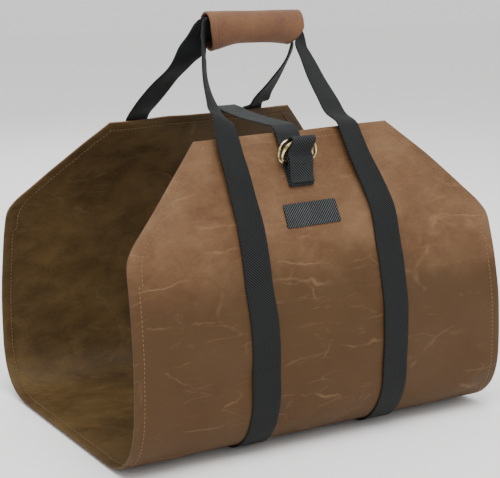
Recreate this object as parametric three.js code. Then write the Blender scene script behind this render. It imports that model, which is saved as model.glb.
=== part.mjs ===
// Canvas log carrier: one sheet bent into an open cradle, two webbing handles in a leather grip,
// and a webbing strap that closes the mouth with two metal rings. Lengths are in millimetres.
import * as THREE from 'three';

// canvas sheet
const panelWidth = 460;
const topEdgeLength = 246;
const bodyDepth = 345;
const bodyHeight = 326;
const edgeRise = 6;
const cornerLength = 111;
const shoulderRound = 16;
const canvasWall = 1.8;
const hemWidth = 15;
const hemFold = 1.2;
const swellHeight = 2.2;
const swellLength = 250;

// webbing
const webbingWidth = 33;
const webbingThick = 2;
const grippedWidth = 27;
const strapWidth = 30;
const strapThick = 1.8;
const layerGap = 0.5;
const seamGap = 0.4;

// grip
const gripLength = 123;
const gripCentreX = 9.5;
const gripCentreZ = 435;
const gripDepth = 27;
const gripHeight = 39;
const gripWall = 2.4;
const gripArch = 3.5;
const gripDrop = 0.5;
const gripLean = 0.14;
const gripSplay = 1.3;
const gripCutLeft = 6;
const gripCutRight = 14;
const gripSag = 4.5;
const legStep = 7;

// closure
const closureX = -13;
const ringWidth = 45;
const ringHeight = 26;
const ringWire = 3.2;
const tabEnd = 62;
const barDown = 36;
const loopPlay = 0.8;
const tailShort = 2;
const strapBackX = 28;
const strapSewn = 46;
const bridgeRise = 7;

// label
const labelWidth = 67;
const labelHeight = 25;
const labelThick = 1;
const labelCentreX = -9;
const labelDown = 92;

const halfWidth = panelWidth / 2;
const halfDepth = bodyDepth / 2;
const baseLift = webbingThick + layerGap;

// outer face of the sheet in the plane across the mouth: depth share, height share, skew share
const profileShares = [
  [0, 0, 1],
  [0.35, 0, 1],
  [0.66, 0.002, 1],
  [0.82, 0.025, 1],
  [0.93, 0.078, 1],
  [0.985, 0.156, 0.95],
  [1, 0.268, 0.85],
  [0.997, 0.39, 0.75],
  [0.972, 0.505, 0.55],
  [0.935, 0.615, 0.3],
  [0.885, 0.712, 0],
  [0.797, 0.8, -0.1],
  [0.685, 0.897, -0.05],
  [0.562, 1, 0],
];
const skewAtSide = 10;

function profilePoint([depthShare, heightShare, skewShare], side) {
  return new THREE.Vector3(
    skewShare,
    side * depthShare * halfDepth,
    baseLift + heightShare * bodyHeight,
  );
}

const backPoints = profileShares.map((row) => profilePoint(row, 1));
const frontPoints = profileShares.slice(1).reverse().map((row) => profilePoint(row, -1));
const sheetCurve = new THREE.CatmullRomCurve3([...frontPoints, ...backPoints], false, 'centripetal');
const curveSteps = 1200;
sheetCurve.arcLengthDivisions = curveSteps;
const flatLength = sheetCurve.getLength();
const halfLength = flatLength / 2;
const shoulderArc = halfLength - cornerLength;

// half width of the sheet at a distance along it from the middle of the base
function sheetHalfWidth(arc) {
  const past = Math.abs(arc) - shoulderArc;
  const slope = (halfWidth - topEdgeLength / 2) / cornerLength;
  if (past < -shoulderRound) {
    return halfWidth;
  }
  if (past > shoulderRound) {
    return halfWidth - slope * past;
  }
  return halfWidth - (slope * (past + shoulderRound) ** 2) / (4 * shoulderRound);
}

function smoothStep(from, to, value) {
  const share = THREE.MathUtils.clamp((value - from) / (to - from), 0, 1);
  return share * share * (3 - 2 * share);
}

// slow swell of the loaded cloth, the same on both panels when the part is turned half round
function sheetSwell(x, arc) {
  const turned = x * Math.sign(arc || 1);
  const reach = Math.abs(arc) / halfLength;
  const window = smoothStep(0.3, 0.5, reach) * (1 - smoothStep(0.78, 0.98, reach));
  const phase = (2 * Math.PI * turned) / swellLength + 5 * reach;
  return swellHeight * window * Math.sin(phase);
}

// point at a distance above the outer face of the sheet
function sheetPoint(x, arc, lift) {
  const share = THREE.MathUtils.clamp(0.5 + arc / flatLength, 0, 1);
  const base = sheetCurve.getPointAt(share);
  const tangent = sheetCurve.getTangentAt(share);
  const flat = Math.hypot(tangent.y, tangent.z);
  const out = lift + sheetSwell(x, arc);
  const y = base.y + (tangent.z / flat) * out;
  const z = Math.max(base.z, baseLift) - (tangent.y / flat) * out;
  const rise = edgeRise * smoothStep(0.7, 1, Math.abs(arc) / halfLength) * (0.5 + x / topEdgeLength);
  return new THREE.Vector3(x, y - (base.x * skewAtSide * x) / halfWidth, z + rise);
}

function sheetNormal(x, arc) {
  return sheetPoint(x, arc, 1).sub(sheetPoint(x, arc, 0)).normalize();
}

function sheetSideways(x, arc) {
  return sheetPoint(x + 1, arc, 0).sub(sheetPoint(x - 1, arc, 0)).normalize();
}

function spread(from, to, count) {
  return Array.from({ length: count }, (_, i) => from + ((to - from) * i) / count);
}

// distances from the middle of the base at which cloth and webbing share their facets
const bendStart = 0.23;
const bendEnd = 0.42;
const halfArcs = [
  ...spread(0, bendStart, 3),
  ...spread(bendStart, bendEnd, 8),
  ...spread(bendEnd, (shoulderArc - shoulderRound) / halfLength, 7),
  ...spread((shoulderArc - shoulderRound) / halfLength, (shoulderArc + shoulderRound) / halfLength, 3),
  ...spread((shoulderArc + shoulderRound) / halfLength, 1 - hemWidth / halfLength, 4),
  1 - hemWidth / halfLength,
  1,
].map((share) => share * halfLength);
const sheetArcs = [...halfArcs.slice(1).reverse().map((arc) => -arc), ...halfArcs];

// triangles of a closed solid from faces that index points
function solidMesh(name, material, points, faces) {
  let volume = 0;
  for (const [a, b, c] of faces) {
    volume += points[a].dot(points[b].clone().cross(points[c]));
  }
  const ordered = volume < 0 ? faces.map(([a, b, c]) => [a, c, b]) : faces;
  const geometry = new THREE.BufferGeometry();
  const flatPoints = points.flatMap((point) => [point.x, point.y, point.z]);
  geometry.setAttribute('position', new THREE.Float32BufferAttribute(flatPoints, 3));
  geometry.setIndex(ordered.flat());
  geometry.computeVertexNormals();
  const mesh = new THREE.Mesh(geometry, material);
  mesh.name = name;
  return mesh;
}

// solid between two grids of the same size
function sheetSolid(name, material, outer, inner) {
  const rows = outer.length;
  const columns = outer[0].length;
  const points = [...outer.flat(), ...inner.flat()];
  const innerStart = rows * columns;
  const faces = [];
  const quad = (a, b, c, d) => faces.push([a, b, c], [a, c, d]);
  const at = (row, column) => row * columns + column;
  for (let row = 0; row < rows - 1; row += 1) {
    for (let column = 0; column < columns - 1; column += 1) {
      const corners = [at(row, column), at(row, column + 1), at(row + 1, column + 1), at(row + 1, column)];
      quad(...corners);
      quad(...corners.map((index) => innerStart + index).reverse());
    }
  }
  const rim = [];
  for (let column = 0; column < columns - 1; column += 1) {
    rim.push(at(0, column));
  }
  for (let row = 0; row < rows - 1; row += 1) {
    rim.push(at(row, columns - 1));
  }
  for (let column = columns - 1; column > 0; column -= 1) {
    rim.push(at(rows - 1, column));
  }
  for (let row = rows - 1; row > 0; row -= 1) {
    rim.push(at(row, 0));
  }
  rim.forEach((from, i) => {
    const to = rim[(i + 1) % rim.length];
    quad(to, from, innerStart + from, innerStart + to);
  });
  return solidMesh(name, material, points, faces);
}

// solid whose section loops follow one another round a closed path
function ringSolid(name, material, loops) {
  const points = loops.flat();
  const size = loops[0].length;
  const faces = [];
  loops.forEach((_, i) => {
    const next = (i + 1) % loops.length;
    for (let j = 0; j < size; j += 1) {
      const k = (j + 1) % size;
      faces.push([i * size + j, next * size + j, next * size + k]);
      faces.push([i * size + j, next * size + k, i * size + k]);
    }
  });
  return solidMesh(name, material, points, faces);
}

// band of webbing through stations, each with its centre, its direction across and its width
function ribbonSolid(name, material, stations, thick, across) {
  const top = [];
  const bottom = [];
  stations.forEach((station, i) => {
    const before = stations[Math.max(i - 1, 0)].centre;
    const after = stations[Math.min(i + 1, stations.length - 1)].centre;
    const along = after.clone().sub(before).normalize();
    const side = station.side.clone().addScaledVector(along, -along.dot(station.side)).normalize();
    const normal = side.clone().cross(along);
    const topRow = [];
    const bottomRow = [];
    for (let j = 0; j <= across; j += 1) {
      const middle = station.centre.clone().addScaledVector(side, station.width * (j / across - 0.5));
      topRow.push(middle.clone().addScaledVector(normal, thick / 2));
      bottomRow.push(middle.clone().addScaledVector(normal, -thick / 2));
    }
    top.push(topRow);
    bottom.push(bottomRow);
  });
  return sheetSolid(name, material, top, bottom);
}

// stations along a smooth path through rows of centre, direction across and width
function pathStations(rows, step) {
  const path = new THREE.CatmullRomCurve3(rows.map((row) => row.centre), false, 'centripetal');
  const count = Math.ceil(path.getLength() / step);
  return Array.from({ length: count + 1 }, (_, i) => {
    const share = path.getUtoTmapping(i / count);
    const place = share * (rows.length - 1);
    const row = Math.min(Math.floor(place), rows.length - 2);
    const width = THREE.MathUtils.lerp(rows[row].width, rows[row + 1].width, place - row);
    const side = rows[row].side.clone().lerp(rows[row + 1].side, place - row).normalize();
    return { centre: path.getPoint(share), side, width };
  });
}

const canvasMaterial = new THREE.MeshStandardMaterial({ color: '#7d5c3e', roughness: 0.7, metalness: 0 });
const webbingMaterial = new THREE.MeshStandardMaterial({ color: '#1b1c1e', roughness: 0.8, metalness: 0 });
const leatherMaterial = new THREE.MeshStandardMaterial({ color: '#8c6244', roughness: 0.75, metalness: 0 });
const metalMaterial = new THREE.MeshStandardMaterial({ color: '#b9a878', roughness: 0.35, metalness: 1 });
const patchMaterial = new THREE.MeshStandardMaterial({ color: '#202124', roughness: 0.8, metalness: 0 });

// canvas sheet with its folded hem
const innerColumns = 16;
function sheetRow(arc, inner) {
  const half = sheetHalfWidth(arc);
  const clear = half - hemWidth;
  const columns = [-half, ...spread(-clear, clear, innerColumns), clear, half];
  const inTopHem = Math.abs(arc) > halfLength - hemWidth;
  return columns.map((x) => {
    const inHem = inTopHem || Math.abs(x) > clear;
    const wall = canvasWall + (inHem ? hemFold : 0);
    return sheetPoint(x, arc, inner ? -wall : 0);
  });
}
const canvasBody = sheetSolid(
  'canvas_body',
  canvasMaterial,
  sheetArcs.map((arc) => sheetRow(arc, false)),
  sheetArcs.map((arc) => sheetRow(arc, true)),
);

// handle webbing on the panels: distance share and sideways share of the centre line
const sewnLines = {
  frontLeft: [[0, -0.36], [0.5, -0.35], [0.8, -0.385], [1, -0.38]],
  frontRight: [[0, 0.35], [0.5, 0.352], [0.8, 0.342], [1, 0.285]],
  backLeft: [[0, -0.365], [0.45, -0.375], [0.8, -0.38], [1, -0.37]],
  backRight: [[0, 0.35], [0.45, 0.35], [0.8, 0.34], [1, 0.33]],
};
const edgeTurn = 0.24;
const turnStart = 0.74;

function linePlace(line, share) {
  const next = Math.max(line.findIndex(([at]) => at >= share), 1);
  const [[fromShare, fromX], [toShare, toX]] = [line[next - 1], line[next]];
  const part = smoothStep(fromShare, toShare, share);
  return THREE.MathUtils.lerp(fromX, toX, part) * halfWidth;
}

// stations on one panel from the middle of the base up to the upper edge; near the edge the band
// lifts along one side as it begins to turn
function sewnStations(line, facing) {
  return halfArcs.map((distance) => {
    const x = linePlace(line, distance / halfLength);
    const arc = facing * Math.max(distance, seamGap / 2);
    const turn = edgeTurn * smoothStep(turnStart, 1, distance / halfLength);
    const lift = layerGap + webbingThick / 2 + (webbingWidth / 2) * Math.sin(turn);
    const side = sheetSideways(x, arc).multiplyScalar(Math.cos(turn));
    side.addScaledVector(sheetNormal(x, arc), facing * Math.sin(turn));
    return { centre: sheetPoint(x, arc, lift), side, width: webbingWidth };
  });
}

// free legs from the upper edge to the grip: x, y, z as shares of the half width, the half depth
// and the grip height above the base, then the direction across the band and its width share
const freeLegs = {
  frontLeft: [
    [-0.363, -0.52, 0.798, 0.92, 0.22, -0.3, 1],
    [-0.353, -0.42, 0.814, 0.79, 0.32, -0.52, 1],
    [-0.345, -0.33, 0.844, 0.69, 0.41, -0.6, 1],
    [-0.329, -0.245, 0.876, 0.54, 0.49, -0.68, 1],
    [-0.3, -0.155, 0.914, 0.45, 0.57, -0.69, 1],
    [-0.276, -0.1, 0.942, 0.42, 0.5, -0.76, 1],
    [-0.262, -0.06, 0.965, 0.3, 0.3, -0.9, 1],
  ],
  frontRight: [
    [0.297, -0.45, 0.793, 0.98, 0.1, -0.13, 1],
    [0.302, -0.36, 0.824, 0.98, 0.12, -0.14, 1],
    [0.304, -0.22, 0.875, 0.95, 0.21, -0.22, 1],
    [0.305, -0.13, 0.917, 0.9, 0.37, -0.24, 1],
    [0.3, -0.058, 0.951, 0.88, 0.42, -0.1, 0.76],
    [0.311, -0.032, 0.969, 0.75, 0.45, 0.45, 0.4],
    [0.3, -0.018, 0.985, 0.4, 0.25, 0.88, 0.42],
  ],
  backLeft: [
    [-0.36, 0.5, 0.795, 1, 0.05, 0.05, 1],
    [-0.34, 0.42, 0.825, 1, 0.05, 0.05, 1],
    [-0.315, 0.31, 0.865, 1, 0.1, 0.1, 1],
    [-0.292, 0.155, 0.91, 0.8, 0.4, 0, 1],
    [-0.272, 0.042, 0.958, 0.15, 0.24, -0.94, 0.78],
  ],
  backRight: [
    [0.297, 0.46, 0.788, 0.97, 0.15, 0.17, 1],
    [0.291, 0.4, 0.81, 0.96, 0.22, 0.18, 0.95],
    [0.302, 0.32, 0.838, 0.9, 0.36, 0.25, 1],
    [0.308, 0.21, 0.882, 0.81, 0.42, 0.41, 1],
    [0.306, 0.1, 0.924, 0.72, 0.41, 0.55, 0.85],
    [0.29, 0.04, 0.952, 0.57, 0.45, 0.68, 0.5],
    [0.291, 0.026, 0.968, 0.5, 0.35, 0.8, 0.42],
    [0.283, 0.018, 0.985, 0.25, 0.15, 0.95, 0.48],
  ],
};

function legRows(leg, sign) {
  return leg.map(([x, y, z, across, back, rise, wide]) => ({
    centre: new THREE.Vector3(x * halfWidth, y * halfDepth, z * gripCentreZ),
    side: new THREE.Vector3(across, back, rise).multiplyScalar(sign),
    width: wide * webbingWidth,
  }));
}

// the two bands stand face to face in the grip and lean over towards its ends
const gripStations = 13;
function grippedStations(facing) {
  return Array.from({ length: gripStations }, (_, i) => {
    const share = i / (gripStations - 1);
    const lean = gripLean * (1 - 2 * share);
    const side = new THREE.Vector3(0, -facing * Math.sin(lean), facing * Math.cos(lean));
    const normal = side.clone().cross(new THREE.Vector3(1, 0, 0));
    const rise = (gripArch / 2) * (1 - (2 * share - 1) ** 2) - gripDrop * Math.cos(Math.PI * share) ** 2;
    const centre = new THREE.Vector3(gripCentreX + gripLength * (share - 0.5), 0, gripCentreZ + rise);
    centre.addScaledVector(normal, (webbingThick + layerGap) / 2);
    centre.y += facing * gripSplay * (2 * share - 1) ** 4;
    return { centre, side, width: grippedWidth };
  });
}

// on the right the bands turn down before they reach the end of the grip
const hidden = 2;
function handleStations(leftName, rightName, facing) {
  const turned = (station) => ({ ...station, side: station.side.clone().negate() });
  const plain = (station) => station;
  const left = sewnStations(sewnLines[leftName], facing).map(facing < 0 ? plain : turned);
  const right = sewnStations(sewnLines[rightName], facing).reverse().map(facing < 0 ? turned : plain);
  const inside = grippedStations(facing);
  const leftRows = [...left.slice(-2), ...legRows(freeLegs[leftName], -facing), ...inside.slice(0, 2)];
  const rightLegRows = legRows(freeLegs[rightName], facing).reverse();
  const rightRows = [...inside.slice(-hidden - 2, -hidden), ...rightLegRows, ...right.slice(0, 2)];
  return [
    ...left.slice(0, -2),
    ...pathStations(leftRows, legStep),
    ...inside.slice(2, -hidden - 2),
    ...pathStations(rightRows, legStep),
    ...right.slice(2),
  ];
}

const bandAcross = 2;
const webbingFront = ribbonSolid(
  'webbing_front',
  webbingMaterial,
  handleStations('frontLeft', 'frontRight', -1),
  webbingThick,
  bandAcross,
);
const webbingBack = ribbonSolid(
  'webbing_back',
  webbingMaterial,
  handleStations('backLeft', 'backRight', 1),
  webbingThick,
  bandAcross,
);

// grip: an open roll, arched a little in the middle of its underside, which hangs lower on the left
const gripSagEnd = 0.35;
const gripCutPower = 1.3;
const gripAround = 20;
const gripProfile = [-0.5, -0.47, -0.38, -0.3, -0.22, -0.1, 0.1, 0.3, 0.47, 0.5];
function gripSection(angle) {
  const ring = (share, wall) => {
    const bow = gripArch * (1 - (2 * share) ** 2);
    const low = Math.max(0, -Math.sin(angle));
    const lift = low * (bow - gripSag * (1 - smoothStep(0, gripSagEnd, share + 0.5)));
    const cutBack = 2 * (share < 0 ? gripCutLeft : gripCutRight) * low ** gripCutPower;
    return new THREE.Vector3(
      gripCentreX + share * (gripLength - cutBack),
      Math.cos(angle) * (gripDepth / 2 - wall),
      gripCentreZ + Math.sin(angle) * (gripHeight / 2 - wall) + lift,
    );
  };
  const outside = gripProfile.map((share) => ring(share, 0));
  const inside = gripProfile.map((share) => ring(share, gripWall)).reverse();
  return [...outside, ...inside];
}
const gripAngles = Array.from({ length: gripAround }, (_, i) => (2 * Math.PI * i) / gripAround);
const gripWrap = ringSolid('grip_wrap', leatherMaterial, gripAngles.map(gripSection));

// point of the closure: sideways, distance below the front upper edge, height above the sheet
function closurePoint(x, down, lift) {
  return sheetPoint(x, down - halfLength, lift);
}

// ring centre line: sideways share, height share
const ringShares = [
  [0, 0],
  [0.55, 0],
  [0.9, 0.04],
  [1, 0.24],
  [0.93, 0.56],
  [0.7, 0.84],
  [0.36, 0.97],
];
const ringTall = ringHeight - ringWire;
function ringMesh(name, barLift, lean) {
  const barPoint = closurePoint(closureX, barDown, barLift);
  const arcDown = barDown - ringTall * Math.cos(lean);
  const arcPoint = closurePoint(closureX, arcDown, barLift + ringTall * Math.sin(lean));
  const up = arcPoint.sub(barPoint).normalize();
  const sideways = new THREE.Vector3(1, 0, 0);
  const forward = sideways.clone().cross(up);
  const halfRing = (ringWidth - ringWire) / 2;
  const place = (share, height) =>
    barPoint.clone().addScaledVector(sideways, share * halfRing).addScaledVector(up, height * ringTall);
  const rightSide = ringShares.map(([share, height]) => place(share, height));
  const leftSide = ringShares.slice(1).reverse().map(([share, height]) => place(-share, height));
  const path = new THREE.CatmullRomCurve3([...rightSide, place(0, 1), ...leftSide], true, 'centripetal');
  const ringSteps = 32;
  const wireSides = 8;
  const loops = Array.from({ length: ringSteps }, (_, i) => {
    const centre = path.getPointAt(i / ringSteps);
    const outward = path.getTangentAt(i / ringSteps).cross(forward).normalize();
    return Array.from({ length: wireSides }, (_unused, j) => {
      const angle = (2 * Math.PI * j) / wireSides;
      return centre
        .clone()
        .addScaledVector(outward, (Math.cos(angle) * ringWire) / 2)
        .addScaledVector(forward, (Math.sin(angle) * ringWire) / 2);
    });
  });
  return ringSolid(name, metalMaterial, loops);
}

// both bars lie in the loop of the tab; the outer ring stands away from the panel
const tabLift = layerGap + strapThick / 2;
const innerBarLift = tabLift + strapThick / 2 + loopPlay + ringWire / 2;
const outerBarLift = innerBarLift + ringWire + layerGap;
const innerLean = 0.39;
const outerLean = 0.91;
const innerRing = ringMesh('d_ring_inner', innerBarLift, innerLean);
const outerRing = ringMesh('d_ring_outer', outerBarLift, outerLean);

// even stations along a smooth path through points of the closure
function closureStations(centres, sideways, step) {
  const path = new THREE.CatmullRomCurve3(centres, false, 'centripetal');
  const count = Math.ceil(path.getLength() / step);
  const side = new THREE.Vector3(sideways, 0, 0);
  return Array.from({ length: count + 1 }, (_, i) => {
    return { centre: path.getPointAt(i / count), side, width: strapWidth };
  });
}

// tab: up the panel, round both bars and down again over them; each row holds the distance below
// the edge and the share of the height between the lower and the upper run
const tabTopLift = outerBarLift + ringWire / 2 + loopPlay + strapThick / 2;
const tabTurn = barDown - ringWire / 2 - loopPlay - strapThick / 2;
const tabSpan = tabTopLift - tabLift;
const tabReach = tabEnd - barDown;
const tabUnder = (strapThick + layerGap) / tabSpan;
const tabRows = [
  [tabEnd, 0],
  [barDown + 0.46 * tabReach, 0],
  [barDown + 0.08 * tabReach, 0],
  [tabTurn + 0.1 * tabSpan, 0.126],
  [tabTurn, 0.5],
  [tabTurn + 0.1 * tabSpan, 0.874],
  [barDown + 0.04 * tabReach, 1],
  [barDown + 0.19 * tabReach, 0.845],
  [barDown + 0.38 * tabReach, 0.5],
  [barDown + 0.6 * tabReach, tabUnder + 0.04],
  [tabEnd, tabUnder],
];
const tabPoints = tabRows.map(([down, share]) => closurePoint(closureX, down, tabLift + share * tabSpan));
const tabStep = 3;
const tab = ribbonSolid('d_ring_tab', webbingMaterial, closureStations(tabPoints, 1, tabStep), strapThick, 1);

// strap: sewn outside the back panel, over the mouth, under the inner ring, over the outer one
// and down over the tab
const strapSewnShares = [1, 0.65, 0.33, 0.07];
// share of the way across the mouth, share of the rise
const bridgeShares = [
  [0.02, 0.86],
  [0.08, 1],
  [0.3, 0.72],
  [0.6, 0.66],
  [0.9, 0.86],
  [0.985, 0.86],
];
// share of the distance down to the bars, share of the height of the outer ring's arc
const closingShares = [
  [0.083, 0.19],
  [0.25, 0.17],
  [0.444, 0.174],
  [0.597, 0.242],
  [0.656, 0.398],
  [0.628, 0.587],
  [0.561, 0.777],
  [0.522, 0.962],
  [0.553, 1.098],
  [0.628, 1.133],
  [0.7, 1.068],
  [0.75, 0.909],
  [0.794, 0.72],
  [0.85, 0.602],
  [0.928, 0.568],
  [1.028, 0.576],
  [1.139, 0.523],
  [1.278, 0.398],
  [1.444, 0.28],
];
const arcLift = outerBarLift + ringTall * Math.sin(outerLean);
const tailLift = tabLift + 2 * (strapThick + layerGap);
function strapPoints() {
  const sewn = strapSewnShares.map((share) => {
    return sheetPoint(strapBackX, halfLength - share * strapSewn, tabLift);
  });
  const overBack = sheetPoint(strapBackX, halfLength, 0);
  const overFront = closurePoint(closureX, 0, 0);
  const bridge = bridgeShares.map(([share, rise]) => {
    const point = overBack.clone().lerp(overFront, share);
    point.z += rise * bridgeRise;
    return point;
  });
  const closing = closingShares.map(([down, lift]) => {
    return closurePoint(closureX, down * barDown, lift * arcLift);
  });
  const tail = closurePoint(closureX, tabEnd - tailShort, tailLift);
  return [...sewn, ...bridge, ...closing, tail];
}
const strapStep = 4;
const strapStations = closureStations(strapPoints(), -1, strapStep);
const strap = ribbonSolid('security_strap', webbingMaterial, strapStations, strapThick, 1);

// woven patch, flat on the front panel
const labelRows = 4;
const labelColumns = 6;
function labelGrid(lift) {
  return Array.from({ length: labelRows + 1 }, (_, row) =>
    Array.from({ length: labelColumns + 1 }, (_unused, column) => {
      const x = labelCentreX + labelWidth * (column / labelColumns - 0.5);
      return closurePoint(x, labelDown + labelHeight * (row / labelRows - 0.5), lift);
    }),
  );
}
const labelPatch = sheetSolid(
  'label_patch',
  patchMaterial,
  labelGrid(layerGap + labelThick),
  labelGrid(layerGap),
);

const part = new THREE.Group();
part.name = 'canvas_log_carrier';
part.add(canvasBody, webbingFront, webbingBack, gripWrap, innerRing, outerRing, tab, strap, labelPatch);
export default part;
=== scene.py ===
import math
import bmesh
import bpy
import numpy as np
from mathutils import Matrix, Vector


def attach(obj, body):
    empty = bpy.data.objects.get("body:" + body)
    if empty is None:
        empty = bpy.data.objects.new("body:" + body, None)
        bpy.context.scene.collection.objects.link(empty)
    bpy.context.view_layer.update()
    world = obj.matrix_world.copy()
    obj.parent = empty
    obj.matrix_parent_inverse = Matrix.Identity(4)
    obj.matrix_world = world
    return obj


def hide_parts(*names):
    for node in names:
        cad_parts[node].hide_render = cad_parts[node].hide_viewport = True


# Canvas log carrier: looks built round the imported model. Shapes are laid out in millimetres.
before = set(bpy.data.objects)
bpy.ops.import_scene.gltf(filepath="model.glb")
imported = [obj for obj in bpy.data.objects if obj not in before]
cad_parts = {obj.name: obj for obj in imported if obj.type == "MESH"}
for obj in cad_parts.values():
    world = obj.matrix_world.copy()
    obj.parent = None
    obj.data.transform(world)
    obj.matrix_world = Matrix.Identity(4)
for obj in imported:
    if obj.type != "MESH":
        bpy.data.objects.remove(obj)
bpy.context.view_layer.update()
millimetre = 0.001
print("frame loaded")


# curves and surfaces

def smoothPath(points, closed=False, perSpan=24):  # centripetal curve through the points
    knots = np.array(points, float)
    if closed:
        extended = np.concatenate([knots[-1:], knots, knots[:2]])
    else:
        extended = np.concatenate([[2 * knots[0] - knots[1]], knots, [2 * knots[-1] - knots[-2]]])
    step = np.linspace(0, 1, perSpan, endpoint=False)[:, None]
    parts = []
    for i in range(len(extended) - 3):
        before, start, end, after = extended[i:i + 4]
        gaps = [math.sqrt(np.linalg.norm(b - a)) for a, b in ((before, start), (start, end), (end, after))]
        first, middle, last = [max(gap, 1e-4) for gap in gaps]
        leave = (start - before) / first - (end - before) / (first + middle) + (end - start) / middle
        arrive = (end - start) / middle - (after - start) / (middle + last) + (after - end) / last
        leave = leave * middle
        arrive = arrive * middle
        bend = 3 * (end - start) - 2 * leave - arrive
        close = 2 * (start - end) + leave + arrive
        parts.append(start + leave * step + bend * step ** 2 + close * step ** 3)
    if not closed:
        parts.append(knots[-1:])
    return np.concatenate(parts)


def lengthsAlong(path):
    steps = np.linalg.norm(np.diff(path, axis=0), axis=1)
    return np.concatenate([[0], np.cumsum(steps)])


def evenly(path, step, columns=3):  # the path again with equal steps; the first columns are its place
    at = lengthsAlong(path[:, :columns])
    wanted = np.linspace(0, at[-1], max(int(math.ceil(at[-1] / step)), 2) + 1)
    return np.stack([np.interp(wanted, at, path[:, k]) for k in range(path.shape[1])], axis=1)


def along(path, at, where):  # the place at a length along a path
    return np.array([np.interp(where, at, path[:, k]) for k in range(3)])


def smoothStep(start, end, value):
    share = np.clip((value - start) / (end - start), 0, 1)
    return share * share * (3 - 2 * share)


def unit(vectors):
    return vectors / np.linalg.norm(vectors, axis=-1, keepdims=True)


def buildMesh(name, points, faces, materials, faceMaterials=None, uv=None):
    mesh = bpy.data.meshes.new(name)
    mesh.from_pydata((np.asarray(points) * millimetre).tolist(), [], faces)
    for material in materials:
        mesh.materials.append(material)
    mesh.polygons.foreach_set("use_smooth", [True] * len(mesh.polygons))
    if faceMaterials is not None:
        mesh.polygons.foreach_set("material_index", faceMaterials)
    if uv is not None:  # one place per vertex, in metres of cloth
        corners = np.zeros(len(mesh.loops), int)
        mesh.loops.foreach_get("vertex_index", corners)
        layer = mesh.uv_layers.new(name="cloth")
        layer.data.foreach_set("uv", (np.asarray(uv)[corners] * millimetre).ravel())
    mesh.validate()
    mesh.update()
    piece = bpy.data.objects.new(name, mesh)
    bpy.context.scene.collection.objects.link(piece)
    return piece


def fixNormals(piece):  # faces out, worked out from the closed mesh itself
    work = bmesh.new()
    work.from_mesh(piece.data)
    bmesh.ops.recalc_face_normals(work, faces=work.faces)
    work.to_mesh(piece.data)
    work.free()
    piece.data.polygons.foreach_set("use_smooth", [True] * len(piece.data.polygons))


def tubeFaces(first, rings, around):  # faces between rings of points, with both ends closed
    faces = []
    for ring in range(rings - 1):
        for k in range(around):
            here = first + ring * around + k
            beside = first + ring * around + (k + 1) % around
            faces.append((here, beside, beside + around, here + around))
    faces.append(tuple(first + k for k in range(around))[::-1])
    faces.append(tuple(first + (rings - 1) * around + k for k in range(around)))
    return faces


def closedGrid(rows, columns):  # faces over a grid of points that closes both ways
    index = np.arange(rows * columns).reshape(rows, columns)
    following = np.roll(index, -1, axis=0)
    corners = [index, following, np.roll(following, -1, axis=1), np.roll(index, -1, axis=1)]
    return np.stack(corners, axis=-1).reshape(-1, 4).tolist()


def placePiece(piece, slotName, *nodes):
    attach(piece, "root")
    if nodes:
        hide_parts(*nodes)
    return piece


# materials

def linearColour(hexText):  # sRGB hex to the linear colour that the shaders take
    channels = [int(hexText[i:i + 2], 16) / 255 for i in (1, 3, 5)]
    linear = [c / 12.92 if c <= 0.04045 else ((c + 0.055) / 1.055) ** 2.4 for c in channels]
    return (*linear, 1)


def addNode(material, kind, settings=None, inputs=None):  # one node with its settings and links
    node = material.node_tree.nodes.new(kind)
    for name, value in (settings or {}).items():
        setattr(node, name, value)
    for name, value in (inputs or {}).items():
        if isinstance(value, bpy.types.NodeSocket):
            material.node_tree.links.new(value, node.inputs[name])
        elif value is not None:
            node.inputs[name].default_value = value
    return node


def newMaterial(name):
    material = bpy.data.materials.new(name)
    material.use_nodes = True
    material.node_tree.nodes.clear()
    return material


def finishMaterial(material, colour, roughness, normal, fixed):
    inputs = {"Base Color": colour, "Roughness": roughness, "Normal": normal, **fixed}
    shader = addNode(material, "ShaderNodeBsdfPrincipled", None, inputs)
    addNode(material, "ShaderNodeOutputMaterial", None, {"Surface": shader.outputs["BSDF"]})
    return material


def colourRamp(material, value, stops):
    ramp = addNode(material, "ShaderNodeValToRGB", None, {"Fac": value})
    elements = ramp.color_ramp.elements
    while len(elements) < len(stops):
        elements.new(0.5)
    for element, (place, colour) in zip(elements, stops):
        element.position = place
        element.color = linearColour(colour) if isinstance(colour, str) else (colour, colour, colour, 1)
    return ramp.outputs["Color"]


def stackRelief(material, layers):  # relief upon relief: strength and depth in millimetres, then the pattern
    normal = None
    for (strength, depth), pattern in layers:
        inputs = {"Strength": strength, "Distance": depth * millimetre, "Height": pattern, "Normal": normal}
        normal = addNode(material, "ShaderNodeBump", None, inputs).outputs["Normal"]
    return normal


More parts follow.
